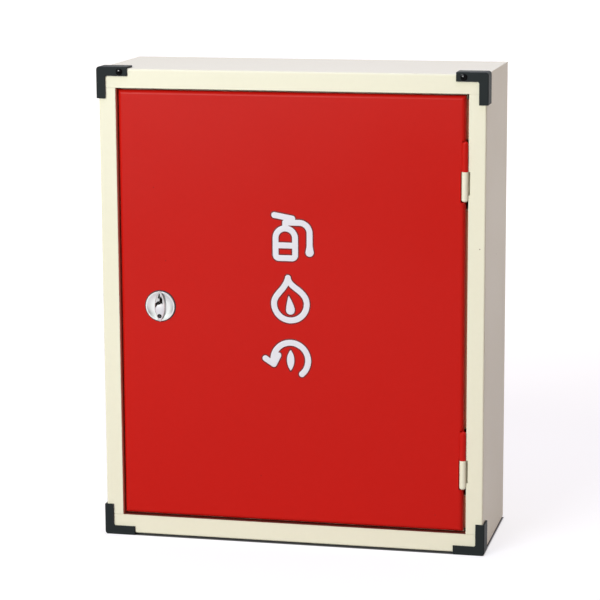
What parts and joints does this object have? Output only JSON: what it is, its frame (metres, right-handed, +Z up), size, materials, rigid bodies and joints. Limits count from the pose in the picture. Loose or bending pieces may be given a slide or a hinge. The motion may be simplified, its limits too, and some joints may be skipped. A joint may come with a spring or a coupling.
{
  "type": "fire extinguisher cabinet",
  "caption": "Wall or floor cabinet of folded ivory steel with a red pan door on lift-off hinges, a round turn latch and black moulded corner guards.",
  "frame": {"origin": "middle of the footprint, at the height of the undersides of the corner guards", "axes": "+Z up, -Y out of the door side, +Y into the wall, +X to the right as seen from the front (hinge side)"},
  "size_m": [0.495, 0.185, 0.605],
  "materials": {
    "cabinet_paint": "semi-gloss ivory enamel",
    "door_paint": "semi-gloss red enamel",
    "guard_plastic": "satin moulded plastic",
    "chrome": "polished plating",
    "plated_steel": "zinc plating",
    "bumper_rubber": "matte"
  },
  "bodies": {
    "cabinet": {"back_panel": "cabinet_paint", "top_panel": "cabinet_paint", "bottom_panel": "cabinet_paint", "left_side_panel": "cabinet_paint", "right_side_panel": "cabinet_paint", "left_stop_strip": "cabinet_paint", "right_stop_strip": "cabinet_paint", "top_stop_strip": "cabinet_paint", "bottom_stop_strip": "cabinet_paint", "lower_hinge_frame_leaf": "cabinet_paint", "upper_hinge_frame_leaf": "cabinet_paint", "top_left_guard": "guard_plastic", "top_right_guard": "guard_plastic", "bottom_left_guard": "guard_plastic", "bottom_right_guard": "guard_plastic", "lower_hinge_pin": "plated_steel", "upper_hinge_pin": "plated_steel", "latch_keeper": "plated_steel", "upper_bumper": "bumper_rubber", "lower_bumper": "bumper_rubber"},
    "door": {"door_panel": "door_paint", "door_stiffener": "door_paint", "lower_hinge_door_leaf": "door_paint", "upper_hinge_door_leaf": "door_paint", "lock_body": "chrome", "lock_nut": "plated_steel"},
    "latch": {"lock_handle": "chrome", "lock_cam": "plated_steel", "cam_screw": "plated_steel"}
  },
  "joints": [
    {"name": "door_hinge", "type": "hinge", "parent": "cabinet", "child": "door", "pos_m": [0.2192, -0.0875, 0.3025], "axis": [0, 0, 1], "range_deg": [0, 120]},
    {"name": "latch_turn", "type": "hinge", "parent": "door", "child": "latch", "pos_m": [-0.1695, -0.0855, 0.3025], "axis": [0, 1, 0], "range_deg": [0, 90]}
  ]
}
